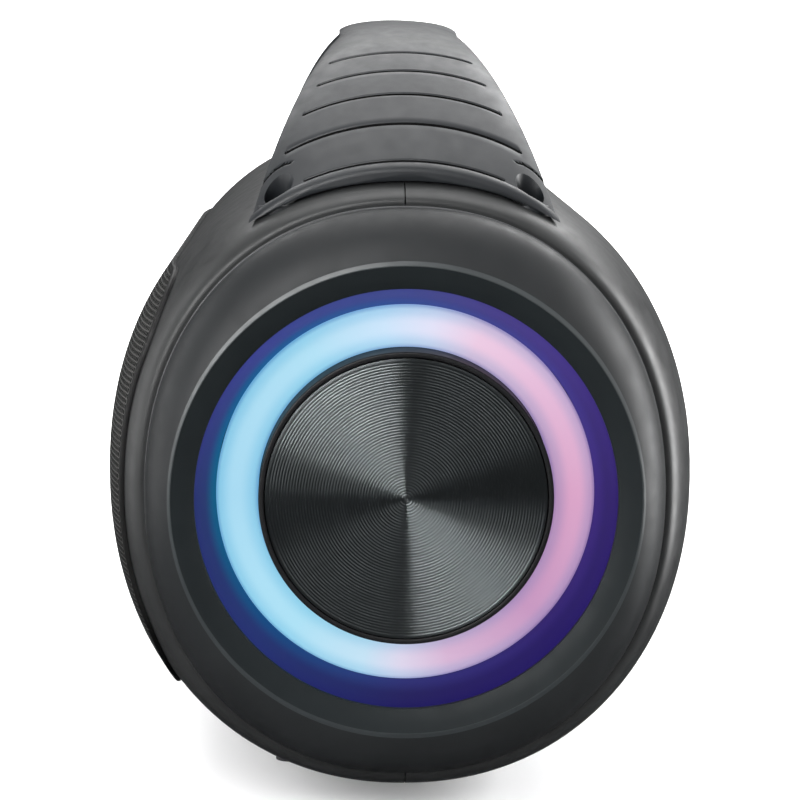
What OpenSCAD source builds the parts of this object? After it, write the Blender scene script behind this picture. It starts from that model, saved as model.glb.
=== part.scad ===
// Portable party speaker: a rounded barrel with a light ring and a passive radiator in each end,
// a curved grille in front, a control strip on top and a carrying handle along its length.
// X runs along the barrel, the grille faces -Y, Z is up, and the floor under the feet is z = 0.

/* [Barrel] */
// Overall length, from one end rim to the other
body_length = 440; // [430:1:450]
// Half of the front-to-back depth at the middle
body_half_depth = 102; // [101:0.5:104]
// Half of the height at the middle
body_half_height = 109; // [108:0.5:111]
// Half of the depth at the end groove
groove_half_depth = 88; // [87:0.5:90]
// Half of the height at the end groove
groove_half_height = 96.5; // [95:0.5:98]
// Roundness of the barrel's section, where 2 is an ellipse
section_power = 2.14; // [2:0.02:2.3]
// Length over which each end of the barrel swells to its full section
shoulder_length = 75; // [70:1:90]
// Thickness of the shells
wall = 3; // [2.5:0.5:3.5]
// Gap between the barrel and the floor
floor_gap = 3; // [2:0.5:5]

/* [Ends] */
// How far the end rim stands out past the groove
cap_depth = 23; // [22:0.5:24]
// Radius of the end rim
rim_radius = 78; // [77:0.5:79]
// Radius of the tunnel's mouth
mouth_radius = 69.9; // [69.5:0.1:70]
// Radius of the tunnel where it meets the light
glow_inner_radius = 63.4; // [63:0.1:64]
// Radius of the radiator disc
disc_radius = 46.1; // [45.8:0.1:46.2]
// Travel of the radiator each way
radiator_travel = 4; // [2:0.5:4]

/* [Handle] */
// Overall height, from the floor to the top of the grip
overall_height = 268.5; // [267:0.5:275]
// Half of the handle's length
handle_half_length = 188; // [185:1:189]
// Half of the flat length of the grip
grip_half_length = 58; // [50:1:62]
// Half of the width of the grip
grip_half_width = 21.5; // [20:0.5:24]
// Half of the width of the handle's ends
handle_end_half_width = 52; // [51:0.5:53]
// Radius of the sloping ends, seen from the front
handle_arc_radius = 190; // [186:1:194]
// Radius of the crown across the handle
crown_radius = 88; // [80:1:100]
// Thickness of the grip
grip_thickness = 15; // [14:0.5:16]

/* [Drivers] */
// Distance of each woofer's centre from the middle
woofer_offset = 95; // [93:1:100]
// Radius of the woofer's flange
woofer_radius = 50; // [48:1:51]
// Distance of each tweeter's centre from the middle
tweeter_offset = 21; // [20:0.5:22]

/* [Controls] */
// Distance between neighbouring buttons
button_pitch = 20; // [18:0.5:21]
// Radius of a button
button_radius = 6.5; // [6:0.1:7]
// Travel of a button
button_travel = 1; // [0.8:0.1:1]

/* [Hidden] */

slack = 0.1;                                     // air between fixed pieces that nearly touch
body_z = floor_gap + body_half_height;           // height of the barrel's axis
groove_x = body_length / 2 - cap_depth;          // inner face of each end cap
groove_width = 2.2;
groove_depth = 1.7;
shell_end = groove_x - groove_width;
ring_sides = 60;                                 // points round a lofted section
end_steps = 7;                                   // sections along each shoulder

// Glow tunnel, light and radiator, as distances along X from the middle
rim_x = groove_x + cap_depth;
lip_x = rim_x - 3;
glow_front = lip_x - 2.4;
light_x = groove_x + 1;
frame_front = groove_x + 16;
disc_front = groove_x + 17;
flange_x = groove_x - 15;
sleeve_outer = 75;
sleeve_inner = 72;
frame_inner = disc_radius + 0.5;
frame_outer = 48.9;

// Baffle and drivers, as distances along Y
baffle_y = -74;
baffle_thickness = 5;
baffle_half_width = 168;
baffle_half_height = 65;
woofer_hole = 42.5;
tweeter_hole = 16.3;

// Grille
grille_gap = 0.1;
grille_thickness = 1.5;
grille_half_height = 72;
grille_half_length = handle_half_length;
opening_half_length = 166;
opening_half_height = 62;

// Control strip
panel_length = 136;
panel_width = 30;
panel_top = body_z + body_half_height + 0.8;
panel_floor = panel_top - 3.8;
panel_bottom = panel_top - 6.8;
button_count = 6;

// Battery, on the floor of the barrel
battery_y = 22;
battery_bottom = body_z - 92;

// Rear ports
port_z = body_z - 6;
port_half_width = 46;
port_half_height = 19;
port_corner = 2.5;
port_floor = 93;
cover_y = 97.6;
cover_thickness = 3;
cover_half_width = 43;
hinge_z = port_z - port_half_height + 3.4;
hinge_y = 99;
hinge_radius = 1.8;
pin_radius = 0.8;
cover_top = port_z + port_half_height - 1;
usb_x = -30;
charge_x = -9;
aux_x = 11;
mic_x = 31;

// Handle
grip_top = overall_height;
grip_bottom = overall_height - grip_thickness;
pad_thickness = 1;
opening_radius = grip_bottom - (body_z + body_half_height - 1);
opening_half_flat = 78;
screw_x = handle_half_length - 7.5;
screw_y = 42.3;
screw_floor = body_z + 90.5;
boss_floor = body_z + 88;
counterbore_radius = 5.1;
screw_boss_bottom = body_z + 71;

shell_screw_places = [[95, 101], [-95, 101], [150, -99], [-150, -99], [50, -101], [-50, -101]];

charcoal = "#4a4b4d";
dark_grey = "#2c2e30";
slate = "#5b5d61";
black = "#151618";

function button_place(index) = button_pitch * (index - (button_count - 1) / 2);
function signed_power(value, power) = sign(value) * pow(abs(value), power);
function swell(depth) = depth >= shoulder_length ? 1 : sqrt(1 - pow(1 - max(0, depth) / shoulder_length, 2));
function half_depth(x) =
  groove_half_depth + (body_half_depth - groove_half_depth) * swell(shell_end - abs(x));
function half_height(x) =
  groove_half_height + (body_half_height - groove_half_height) * swell(shell_end - abs(x));
function section(a, b, power, sides) = [
  for (i = [0 : sides - 1])
    let (t = 360 * i / sides)
      [a * signed_power(cos(t), 2 / power), b * signed_power(sin(t), 2 / power)]
];
// Distances from the middle at which the barrel's sections are drawn, closer together near the ends
function stations(end, steps) = concat(
  [for (i = [0 : steps]) -end + shoulder_length * pow(i / steps, 2)],
  [for (i = [steps : -1 : 0]) end - shoulder_length * pow(i / steps, 2)]
);
function arc_drop(x) =
  let (run = max(0, abs(x) - grip_half_length))
    handle_arc_radius - sqrt(pow(handle_arc_radius, 2) - run * run);
function handle_half_width(x) =
  let (run = max(0, abs(x) - 90) / (handle_half_length - 90))
    grip_half_width + (handle_end_half_width - grip_half_width) * pow(run, 1.2);
function crown_drop(y) = crown_radius - sqrt(crown_radius * crown_radius - y * y);

// A closed skin through rings of equal length, given in order along the piece
module loft(rings) {
  sides = len(rings[0]);
  count = len(rings);
  points = [for (ring = rings) for (p = ring) p];
  start = [for (i = [sides - 1 : -1 : 0]) i];
  finish = [for (i = [0 : sides - 1]) (count - 1) * sides + i];
  walls = [
    for (k = [0 : count - 2]) for (i = [0 : sides - 1])
      let (j = (i + 1) % sides, a = k * sides, b = (k + 1) * sides)
        each [[a + i, b + j, b + i], [a + i, a + j, b + j]]
  ];
  polyhedron(points, concat([start], walls, [finish]), convexity = 6);
}

// The barrel's outer form, grown by off on every side
module barrel(end, off = 0, sides = ring_sides, steps = end_steps) {
  loft([
    for (x = stations(end, steps))
      [for (p = section(half_depth(x) + off, half_height(x) + off, section_power, sides))
        [x, -p[0], body_z + p[1]]]
  ]);
}

module section_slab(a, b, from_x, to_x) {
  translate([from_x, 0, body_z])
    rotate([90, 0, 90])
      linear_extrude(to_x - from_x)
        polygon(section(a, b, section_power, ring_sides));
}

// Turns a profile of [radius, x] points about the barrel's axis
module turned(profile) {
  translate([0, 0, body_z])
    rotate([0, 90, 0])
      rotate_extrude($fn = 96)
        polygon(profile);
}

module end_side(side) {
  if (side > 0)
    children();
  else
    mirror([1, 0, 0]) children();
}

// A rounded rectangle standing on z = 0
module rounded_block(length, width, height, radius) {
  linear_extrude(height)
    union() {
      square([length - 2 * radius, width], center = true);
      square([length, width - 2 * radius], center = true);
      for (x = [-1, 1], y = [-1, 1])
        translate([x * (length / 2 - radius), y * (width / 2 - radius)])
          circle(radius, $fn = 24);
    }
}

module y_cylinder(x, z, from_y, to_y, radius) {
  translate([x, from_y, z])
    rotate([-90, 0, 0])
      cylinder(h = to_y - from_y, r = radius, $fn = 32);
}

module collar_ring() {
  difference() {
    section_slab(groove_half_depth - groove_depth, groove_half_height - groove_depth, shell_end - 6, groove_x);
    section_slab(groove_half_depth - groove_depth - wall, groove_half_height - groove_depth - wall,
      shell_end - 7, groove_x + 1);
  }
}

module shell_bosses() {
  for (p = shell_screw_places)
    y_cylinder(p[0], body_z + p[1], -34, 110, 6);
  for (x = [-1, 1], y = [-1, 1])
    translate([x * screw_x, y * screw_y, screw_boss_bottom])
      cylinder(h = 50, r = 10, $fn = 32);
}

module shell_holes() {
  for (p = shell_screw_places) {
    y_cylinder(p[0], body_z + p[1], 14, 111, 4.2);
    y_cylinder(p[0], body_z + p[1], -28, 15, 1.9);
  }
  for (x = [-1, 1], y = [-1, 1])
    translate([x * screw_x, y * screw_y, 0]) {
      translate([0, 0, boss_floor - slack])
        cylinder(h = 40, r = 7.4, $fn = 32);
      translate([0, 0, screw_boss_bottom + 1.5])
        cylinder(h = 30, r = 1.95, $fn = 32);
    }
  translate([0, 0, panel_bottom - slack])
    rounded_block(panel_length + 0.3, panel_width + 0.3, 12, 8.15);
}

module shell_body() {
  difference() {
    union() {
      difference() {
        barrel(shell_end);
        barrel(shell_end + 1, -wall, 44, 5);
      }
      collar_ring();
      intersection() {
        barrel(shell_end - 1, -1);
        shell_bosses();
      }
    }
    shell_holes();
  }
}

module front_shell() {
  color(charcoal)
    difference() {
      intersection() {
        shell_body();
        translate([-250, -150, 0]) cube([500, 150 - 0.2, 300]);
      }
      translate([0, -60, body_z])
        rotate([90, 0, 0])
          rounded_block(2 * opening_half_length, 2 * opening_half_height, 80, 20);
    }
}

module rear_shell() {
  color(charcoal)
    difference() {
      intersection() {
        shell_body();
        translate([-250, 0.2, 0]) cube([500, 150, 300]);
      }
      translate([0, 130, port_z])
        rotate([90, 0, 0])
          rounded_block(2 * port_half_width, 2 * port_half_height, 50, port_corner);
    }
}

// A flat seal that fills the joint between the two shells
module shell_gasket() {
  seal_half_thickness = 0.15;
  xs = stations(shell_end - 2, end_steps);
  reversed = [for (i = [len(xs) - 1 : -1 : 0]) xs[i]];
  color(black)
    for (side = [-1, 1])
      translate([0, seal_half_thickness, 0])
        rotate([90, 0, 0])
          linear_extrude(2 * seal_half_thickness)
            difference() {
              polygon(concat(
                [for (x = xs) [x, body_z + side * (half_height(x) - 0.8)]],
                [for (x = reversed) [x, body_z + side * (half_height(x) - wall + 0.4)]]
              ));
              if (side > 0)
                translate([-panel_length / 2 - 1, body_z])
                  square([panel_length + 2, body_half_height + 10]);
            }
}

module shell_screws() {
  color("silver")
    for (p = shell_screw_places)
      difference() {
        union() {
          y_cylinder(p[0], body_z + p[1], -24, 15, 1.8);
          y_cylinder(p[0], body_z + p[1], 14, 17, 3.6);
        }
        y_cylinder(p[0], body_z + p[1], 15.5, 18, 1.4);
      }
}

// The solid that the end cap is cut from, from the groove's section to the round rim
module end_cap_band(steps) {
  loft([
    for (k = [0 : steps])
      let (
        angle = 90 * k / steps,
        blend = 1 - cos(angle),
        a = groove_half_depth + (rim_radius - groove_half_depth) * blend,
        b = groove_half_height + (rim_radius - groove_half_height) * blend,
        power = section_power + (2 - section_power) * blend
      )
        [for (p = section(a, b, power, ring_sides)) [groove_x + cap_depth * sin(angle), -p[0], body_z + p[1]]]
  ]);
}

module end_cap() {
  cap_steps = 6;
  dish_edge = rim_radius - 0.5;
  dish_slope = (dish_edge - mouth_radius) / (rim_x - lip_x);
  sleeve_back = groove_x - 13;
  cavity_inner = sleeve_outer + 0.6;
  color(charcoal)
    difference() {
      union() {
        end_cap_band(cap_steps);
        turned([[0, sleeve_back], [sleeve_outer, sleeve_back], [sleeve_outer, groove_x + 2], [0, groove_x + 2]]);
      }
      turned([[0, rim_x + 1], [dish_edge + dish_slope, rim_x + 1], [mouth_radius, lip_x], [0, lip_x]]);
      turned([[0, sleeve_back - 1], [sleeve_inner, sleeve_back - 1], [sleeve_inner, glow_front],
        [mouth_radius, glow_front], [mouth_radius, lip_x + 1], [0, lip_x + 1]]);
      turned([[cavity_inner, groove_x - 1], [83, groove_x - 1], [83, groove_x + 9], [79, groove_x + 15],
        [cavity_inner, groove_x + 15]]);
    }
}

module end_gasket() {
  color(black)
    difference() {
      section_slab(groove_half_depth - 0.8, groove_half_height - 0.8, shell_end + slack, groove_x - slack);
      section_slab(groove_half_depth - groove_depth + slack, groove_half_height - groove_depth + slack,
        shell_end - 1, groove_x + 1);
    }
}

// The translucent wall of the tunnel
module glow_ring() {
  color("#3a36a0")
    turned([[sleeve_inner - slack, groove_x - 12], [sleeve_inner - slack, glow_front - slack],
      [mouth_radius, glow_front - slack], [glow_inner_radius, light_x], [glow_inner_radius, groove_x - 12]]);
}

// The frosted light ring, with a rounded face
module light_ring() {
  inner = frame_outer + 0.3;
  outer = glow_inner_radius - 0.2;
  middle = (inner + outer) / 2;
  half = (outer - inner) / 2;
  bulge = 3;
  face = [for (i = [0 : 12]) let (t = 15 * i) [middle + half * cos(t), light_x + bulge * sin(t)]];
  color("#a9d8f0")
    turned(concat([[inner, groove_x - 6], [outer, groove_x - 6]], face));
}

module led_board() {
  chips = 20;
  color("#e8e8e0") {
    turned([[51, groove_x - 11], [62.5, groove_x - 11], [62.5, groove_x - 9.4], [51, groove_x - 9.4]]);
    for (i = [0 : chips - 1])
      translate([0, 0, body_z])
        rotate([360 * i / chips, 0, 0])
          translate([groove_x - 9.6, -2.5, 54])
            cube([1.6, 5, 5]);
  }
}

module radiator_frame() {
  back = flange_x - 2;
  color(black)
    turned([[frame_inner, back], [frame_outer, back], [frame_outer, flange_x], [sleeve_inner - slack, flange_x],
      [sleeve_inner - slack, flange_x + 2.8], [frame_outer, flange_x + 2.8], [frame_outer, frame_front - 0.6],
      [frame_outer - 0.6, frame_front], [frame_inner, frame_front]]);
}

// The rubber roll behind the disc, which moves with it
module radiator_surround() {
  roll_x = disc_front - 12;
  color(black)
    turned(concat(
      [[31, roll_x], [31, roll_x - 1.4]],
      [for (i = [0 : 8]) let (t = 180 - 22.5 * i) [39 + 6.6 * cos(t), roll_x - 1.4 - 5 * sin(t)]],
      [[46.2, roll_x - 1.4], [46.2, roll_x]],
      [for (i = [0 : 8]) let (t = 22.5 * i) [39 + 5.2 * cos(t), roll_x - 3.7 * sin(t)]]
    ));
}

module radiator_disc() {
  color("#3c3f42")
    turned([[0, disc_front - 1], [4, disc_front - 0.9], [disc_radius - 1.2, disc_front], [disc_radius, disc_front - 1],
      [disc_radius, disc_front - 5], [disc_radius - 1.5, disc_front - 5], [disc_radius - 1.5, disc_front - 3],
      [30, disc_front - 11.6], [0, disc_front - 11.6]]);
}

module radiator_weight() {
  color("silver")
    turned([[0, disc_front - 11.7], [18, disc_front - 11.7], [18, disc_front - 17], [0, disc_front - 17]]);
}

module grille() {
  color("#222325")
    intersection() {
      difference() {
        barrel(shell_end, grille_gap + grille_thickness);
        barrel(shell_end + 1, grille_gap);
      }
      translate([0, -20, body_z])
        rotate([90, 0, 0])
          rounded_block(2 * grille_half_length, 2 * grille_half_height, 150, 30);
    }
}

module baffle() {
  color("#6b5a44")
    difference() {
      translate([0, baffle_y + baffle_thickness, body_z])
        rotate([90, 0, 0])
          rounded_block(2 * baffle_half_width, 2 * baffle_half_height, baffle_thickness, 18);
      for (side = [-1, 1]) {
        y_cylinder(side * woofer_offset, body_z, baffle_y - 1, baffle_y + 10, woofer_hole);
        y_cylinder(side * tweeter_offset, body_z, baffle_y - 1, baffle_y + 10, tweeter_hole);
      }
    }
}

// Turns a profile of [radius, depth] points about a driver's axis; depth runs from the front to the rear
module driver_turned(x, profile) {
  translate([x, 0, body_z])
    rotate([-90, 0, 0])
      rotate_extrude($fn = 64)
        polygon(profile);
}

module woofer_basket(side) {
  color(dark_grey)
    difference() {
      driver_turned(side * woofer_offset, [[43.4, -77], [woofer_radius, -77], [woofer_radius, -74.1], [42.2, -74.1],
        [42.2, -66], [31, -45], [16, -45], [16, -47], [29.6, -47], [40.4, -67], [40.4, -75.4], [43.4, -75.4]]);
      for (i = [0 : 5])
        translate([side * woofer_offset, -57, body_z])
          rotate([0, 60 * i + 30, 0])
            translate([0, -6.5, -11])
              cube([60, 15, 22]);
    }
}

module woofer_magnet(side) {
  color("#3a3a3c")
    driver_turned(side * woofer_offset, [[16, -44.9], [32, -44.9], [34, -43], [34, -25], [32, -23], [0, -23],
      [0, -30], [16, -30]]);
}

module woofer_cone(side) {
  color(black)
    driver_turned(side * woofer_offset, [[0, -74], [8, -72.6], [14, -68], [15.2, -65.2], [37.6, -75.6], [37.6, -73.8],
      [14.6, -62.6], [12.6, -62], [12.6, -40], [11.8, -40], [11.8, -63.5], [7.4, -71], [0, -72.4]]);
}

module woofer_surround(side) {
  color(black)
    driver_turned(side * woofer_offset, concat(
      [for (i = [0 : 8]) let (t = 22.5 * i) [40.5 + 2.6 * cos(t), -77.2 - 2.8 * sin(t)]],
      [for (i = [8 : -1 : 0]) let (t = 22.5 * i) [40.5 + 1.7 * cos(t), -77.2 - 1.9 * sin(t)]]
    ));
}

module tweeter(side) {
  color(dark_grey)
    driver_turned(side * tweeter_offset, [[0, -80], [5, -79.2], [9, -76.4], [10.4, -76.4], [12, -77.4], [19.5, -77.4],
      [19.5, -74.1], [16, -74.1], [16, -58], [14.5, -56.5], [0, -56.5]]);
}

module control_panel() {
  color(black)
    difference() {
      union() {
        translate([0, 0, panel_floor - 3 + slack])
          rounded_block(panel_length, panel_width, panel_top - panel_floor + 3 - slack, 8);
        for (x = [-62, 62])
          translate([x, 0, panel_bottom - 5])
            cylinder(h = 6, r = 3, $fn = 24);
      }
      for (i = [0 : button_count - 1])
        translate([button_place(i), 0, 0]) {
          translate([0, 0, panel_floor])
            cylinder(h = 10, r = button_radius + 0.25, $fn = 48);
          translate([0, 0, panel_bottom - 1])
            cylinder(h = 10, r = 2.3, $fn = 24);
        }
    }
}

module button_board() {
  board_top = panel_bottom - 5.2;
  color("#1e5b3a") {
    translate([0, 0, board_top - 1.6])
      rounded_block(132, 24, 1.6, 3);
    for (i = [0 : button_count - 1])
      translate([button_place(i) - 3, -3, board_top])
        cube([6, 6, 2]);
  }
}

module button(index) {
  bottom = panel_floor + button_travel + 0.3;
  color("#3f4144")
    translate([button_place(index), 0, 0]) {
      translate([0, 0, bottom])
        cylinder(h = panel_top + 1 - bottom, r = button_radius, $fn = 48);
      translate([0, 0, panel_bottom - 2])
        cylinder(h = bottom - panel_bottom + 2.5, r = 1.9, $fn = 24);
    }
}

module main_board() {
  color("#1e5b3a") {
    translate([-90, 40, body_z - 28])
      cube([150, 1.6, 80]);
    for (x = [-76, -58])
      y_cylinder(x, body_z + 34, 41.6, 62, 7);
    for (x = [-76, -58, -40])
      y_cylinder(x, body_z + 12, 41.6, 56, 5);
    translate([-20, 41.6, body_z + 20])
      cube([14, 6, 14]);
    translate([20, 41.6, body_z + 16])
      cube([26, 3, 20]);
  }
}

module heat_sink() {
  color("silver")
    translate([-26, 42, body_z - 22]) {
      cube([60, 3, 30]);
      for (i = [0 : 8])
        translate([i * 7.2, 2.9, 0])
          cube([2, 14, 30]);
    }
}

module battery_tray() {
  color(dark_grey)
    difference() {
      translate([0, battery_y, battery_bottom])
        rounded_block(150, 52, 24, 4);
      translate([0, battery_y, battery_bottom + 2])
        rounded_block(146, 48, 40, 3);
    }
}

module battery_cells() {
  color("#2f6db5")
    for (x = [-71, 1], y = [-11.2, 11.2])
      translate([x, battery_y + y, battery_bottom + 13])
        rotate([0, 90, 0])
          cylinder(h = 70, r = 10.6, $fn = 40);
}

module port_panel() {
  ear_inner = cover_half_width + 0.3;
  color(dark_grey)
    difference() {
      union() {
        translate([0, port_floor + 2.5, port_z])
          rotate([90, 0, 0])
            rounded_block(2 * port_half_width - 0.4, 2 * port_half_height - 0.4, 2.5, port_corner - 0.2);
        for (side = [-1, 1])
          translate([side > 0 ? ear_inner : -port_half_width + 0.3, port_floor + 2.4, hinge_z - 2])
            cube([port_half_width - 0.3 - ear_inner, 5, 4]);
      }
      translate([usb_x - 6.8, port_floor - 1, port_z - 3.2])
        cube([13.6, 5, 6.4]);
      translate([charge_x - 4.7, port_floor - 1, port_z - 1.9])
        cube([9.4, 5, 3.8]);
      y_cylinder(aux_x, port_z, port_floor - 1, port_floor + 4, 3.1);
      y_cylinder(mic_x, port_z, port_floor - 1, port_floor + 4, 5.1);
      translate([-60, hinge_y, hinge_z])
        rotate([0, 90, 0])
          cylinder(h = 120, r = pin_radius, $fn = 24);
    }
}

module port_cover() {
  color(dark_grey)
    difference() {
      union() {
        translate([0, cover_y + cover_thickness, (hinge_z + cover_top) / 2])
          rotate([90, 0, 0])
            rounded_block(2 * cover_half_width, cover_top - hinge_z, cover_thickness, 2.5);
        translate([-cover_half_width, hinge_y, hinge_z])
          rotate([0, 90, 0])
            cylinder(h = 2 * cover_half_width, r = hinge_radius, $fn = 32);
        translate([0, body_half_depth + 1.6, cover_top - 6])
          rotate([90, 0, 0])
            rounded_block(24, 5, 6, 2.4);
      }
      translate([-60, hinge_y, hinge_z])
        rotate([0, 90, 0])
          cylinder(h = 120, r = pin_radius + 0.05, $fn = 24);
    }
}

module port_cover_pin() {
  color("silver")
    translate([-port_half_width + 0.5, hinge_y, hinge_z])
      rotate([0, 90, 0])
        cylinder(h = 2 * port_half_width - 1, r = pin_radius, $fn = 24);
}

module usb_socket() {
  color("silver")
    difference() {
      translate([usb_x - 6.6, port_floor - 14, port_z - 3])
        cube([13.2, 16.3, 6]);
      difference() {
        translate([usb_x - 6.1, port_floor - 12, port_z - 2.5])
          cube([12.2, 20, 5]);
        translate([usb_x - 5.5, port_floor - 14, port_z + 0.1])
          cube([11, 15, 1.8]);
      }
    }
}

module charge_socket() {
  color("silver")
    difference() {
      translate([charge_x - 4.5, port_floor - 9, port_z - 1.7])
        cube([9, 11.3, 3.4]);
      difference() {
        translate([charge_x - 4.1, port_floor - 7, port_z - 1.3])
          cube([8.2, 12, 2.6]);
        translate([charge_x - 3.3, port_floor - 8, port_z - 0.35])
          cube([6.6, 9, 0.7]);
      }
    }
}

module round_socket(x, outer, bore, depth) {
  color(black)
    difference() {
      union() {
        y_cylinder(x, port_z, port_floor - 2, port_floor + 2.8, outer);
        translate([x - outer - 1, port_floor - depth - 2, port_z - outer - 1])
          cube([2 * outer + 2, depth + 1.9, 2 * outer + 2]);
      }
      y_cylinder(x, port_z, port_floor - depth, port_floor + 4, bore);
    }
}

module aux_socket() {
  round_socket(aux_x, 3, 1.8, 12);
}

module mic_socket() {
  round_socket(mic_x, 5, 3.25, 24);
}

// Rings of the handle's blank, from one end to the other; off shrinks its width on each side
function handle_rings(off, bottom, end) = [
  for (k = [-14 : 14])
    let (
      x = abs(k) > 5 ? sign(k) * (grip_half_length + (end - grip_half_length) * (abs(k) - 5) / 9)
        : k / 5 * grip_half_length,
      w = handle_half_width(x) - off,
      edge = 3.5
    )
      concat(
        [for (i = [10 : -1 : 0])
          let (y = w * cos(18 * i), corner = edge * pow(abs(cos(18 * i)), 8))
            [x, y, grip_top - arc_drop(x) - crown_drop(y) - corner]],
        [[x, w, bottom], [x, -w, bottom]]
      )
];

module grip_opening() {
  translate([0, 100, 0])
    rotate([90, 0, 0])
      linear_extrude(200)
        union() {
          translate([-opening_half_flat, body_z + 90])
            square([2 * opening_half_flat, grip_bottom - body_z - 90]);
          for (side = [-1, 1])
            translate([side * opening_half_flat, grip_bottom - opening_radius])
              circle(opening_radius, $fn = 64);
        }
}

module handle() {
  color(slate)
    difference() {
      union() {
        difference() {
          loft(handle_rings(0, body_z + 70, handle_half_length));
          barrel(shell_end, pad_thickness + slack);
        }
        for (x = [-1, 1], y = [-1, 1])
          translate([x * screw_x, y * screw_y, boss_floor])
            cylinder(h = 9, r = 7, $fn = 32);
      }
      grip_opening();
      for (x = [-1, 1], y = [-1, 1])
        translate([x * screw_x, y * screw_y, 0]) {
          translate([0, 0, screw_floor])
            cylinder(h = 40, r = counterbore_radius, $fn = 32);
          translate([0, 0, boss_floor - 1])
            cylinder(h = 10, r = 2.2, $fn = 24);
        }
      translate([0, 0, grip_bottom - 1])
        rounded_block(2 * opening_half_flat - 4, 30, 4, 8);
      translate([0, 0, grip_bottom - 1])
        rounded_block(140, 20, 8, 6);
    }
}

module handle_core() {
  color("silver")
    translate([0, 0, grip_bottom + 3.1])
      rounded_block(139, 19, 3.8, 5.5);
}

module handle_cover() {
  color(dark_grey)
    translate([0, 0, grip_bottom])
      rounded_block(2 * opening_half_flat - 4.4, 29.6, 3, 7.8);
}

module handle_pads() {
  color(black)
    difference() {
      intersection() {
        difference() {
          barrel(shell_end, pad_thickness);
          barrel(shell_end + 1, slack / 2);
        }
        loft(handle_rings(1.6, body_z + 70, handle_half_length - 1.6));
      }
      translate([-opening_half_flat - opening_radius - 2, -80, 0])
        cube([2 * (opening_half_flat + opening_radius + 2), 160, 300]);
      for (x = [-1, 1], y = [-1, 1])
        translate([x * (screw_x + 7) - 15, y * (screw_y + 12) - 20, body_z])
          cube([30, 40, 120]);
    }
}

module handle_screws() {
  color("silver")
    for (x = [-1, 1], y = [-1, 1])
      translate([x * screw_x, y * screw_y, 0])
        difference() {
          union() {
            translate([0, 0, screw_floor])
              cylinder(h = 3, r = 4, $fn = 32);
            translate([0, 0, screw_boss_bottom + 2])
              cylinder(h = screw_floor - screw_boss_bottom - 1, r = 1.9, $fn = 24);
          }
          translate([0, 0, screw_floor + 1.2])
            cylinder(h = 3, r = 1.7, $fn = 6);
        }
}

module feet() {
  color(black)
    difference() {
      for (x = [-1, 1], y = [-1, 1])
        translate([x * (groove_x - 90), y * 36, 0])
          rounded_block(26, 19, 20, 5);
      barrel(shell_end, slack / 2);
    }
}

front_shell();
rear_shell();
shell_gasket();
shell_screws();
end_side(-1) end_cap();  // end_cap_left
end_side(1) end_cap();  // end_cap_right
end_side(-1) end_gasket();  // end_gasket_left
end_side(1) end_gasket();  // end_gasket_right
end_side(-1) glow_ring();  // glow_ring_left
end_side(1) glow_ring();  // glow_ring_right
end_side(-1) light_ring();  // light_ring_left
end_side(1) light_ring();  // light_ring_right
end_side(-1) led_board();  // led_board_left
end_side(1) led_board();  // led_board_right
end_side(-1) radiator_frame();  // radiator_frame_left
end_side(1) radiator_frame();  // radiator_frame_right
end_side(-1) radiator_surround();  // radiator_surround_left
end_side(1) radiator_surround();  // radiator_surround_right
end_side(-1) radiator_disc();  // radiator_disc_left
end_side(1) radiator_disc();  // radiator_disc_right
end_side(-1) radiator_weight();  // radiator_weight_left
end_side(1) radiator_weight();  // radiator_weight_right
grille();
baffle();
woofer_basket(-1);  // woofer_basket_left
woofer_basket(1);  // woofer_basket_right
woofer_magnet(-1);  // woofer_magnet_left
woofer_magnet(1);  // woofer_magnet_right
woofer_cone(-1);  // woofer_cone_left
woofer_cone(1);  // woofer_cone_right
woofer_surround(-1);  // woofer_surround_left
woofer_surround(1);  // woofer_surround_right
tweeter(-1);  // tweeter_left
tweeter(1);  // tweeter_right
control_panel();
button_board();
button(0);  // button_power
button(1);  // button_wireless
button(2);  // button_volume_down
button(3);  // button_volume_up
button(4);  // button_play
button(5);  // button_light
main_board();
heat_sink();
battery_tray();
battery_cells();
port_panel();
port_cover();
port_cover_pin();
usb_socket();
charge_socket();
aux_socket();
mic_socket();
handle();
handle_core();
handle_cover();
handle_pads();
handle_screws();
feet();
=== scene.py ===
"""Looks of the portable party speaker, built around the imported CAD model.

X runs along the barrel, the grille faces -Y, Z is up and the floor is z = 0. Lengths are in metres.
"""
import math

import bmesh
import bpy
import numpy as np
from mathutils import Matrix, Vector


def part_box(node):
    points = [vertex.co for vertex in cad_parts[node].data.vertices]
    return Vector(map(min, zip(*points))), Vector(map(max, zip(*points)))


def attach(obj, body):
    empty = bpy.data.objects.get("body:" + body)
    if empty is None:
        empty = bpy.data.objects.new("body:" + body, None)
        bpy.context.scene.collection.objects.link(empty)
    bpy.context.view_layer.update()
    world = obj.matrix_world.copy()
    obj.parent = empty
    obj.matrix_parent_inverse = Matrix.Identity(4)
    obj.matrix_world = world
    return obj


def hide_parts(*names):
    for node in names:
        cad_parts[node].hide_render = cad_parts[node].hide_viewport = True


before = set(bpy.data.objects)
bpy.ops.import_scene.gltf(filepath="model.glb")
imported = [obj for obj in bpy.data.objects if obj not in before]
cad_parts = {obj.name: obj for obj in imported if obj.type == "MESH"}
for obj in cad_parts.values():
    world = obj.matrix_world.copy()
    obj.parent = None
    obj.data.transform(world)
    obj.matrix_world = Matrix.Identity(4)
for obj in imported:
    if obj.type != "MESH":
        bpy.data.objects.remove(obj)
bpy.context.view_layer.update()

# Barrel, taken from the frame where a node gives it
shell_low, shell_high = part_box("rear_shell")
SHELL_END = shell_high.x
CAP_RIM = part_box("end_cap_right")[1].x
AXIS_Z = (shell_low.z + shell_high.z) / 2
HALF_HEIGHT = (shell_high.z - shell_low.z) / 2
HALF_DEPTH = shell_high.y
GROOVE_HALF_DEPTH = HALF_DEPTH - 0.014
GROOVE_HALF_HEIGHT = HALF_HEIGHT - 0.0125
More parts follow.
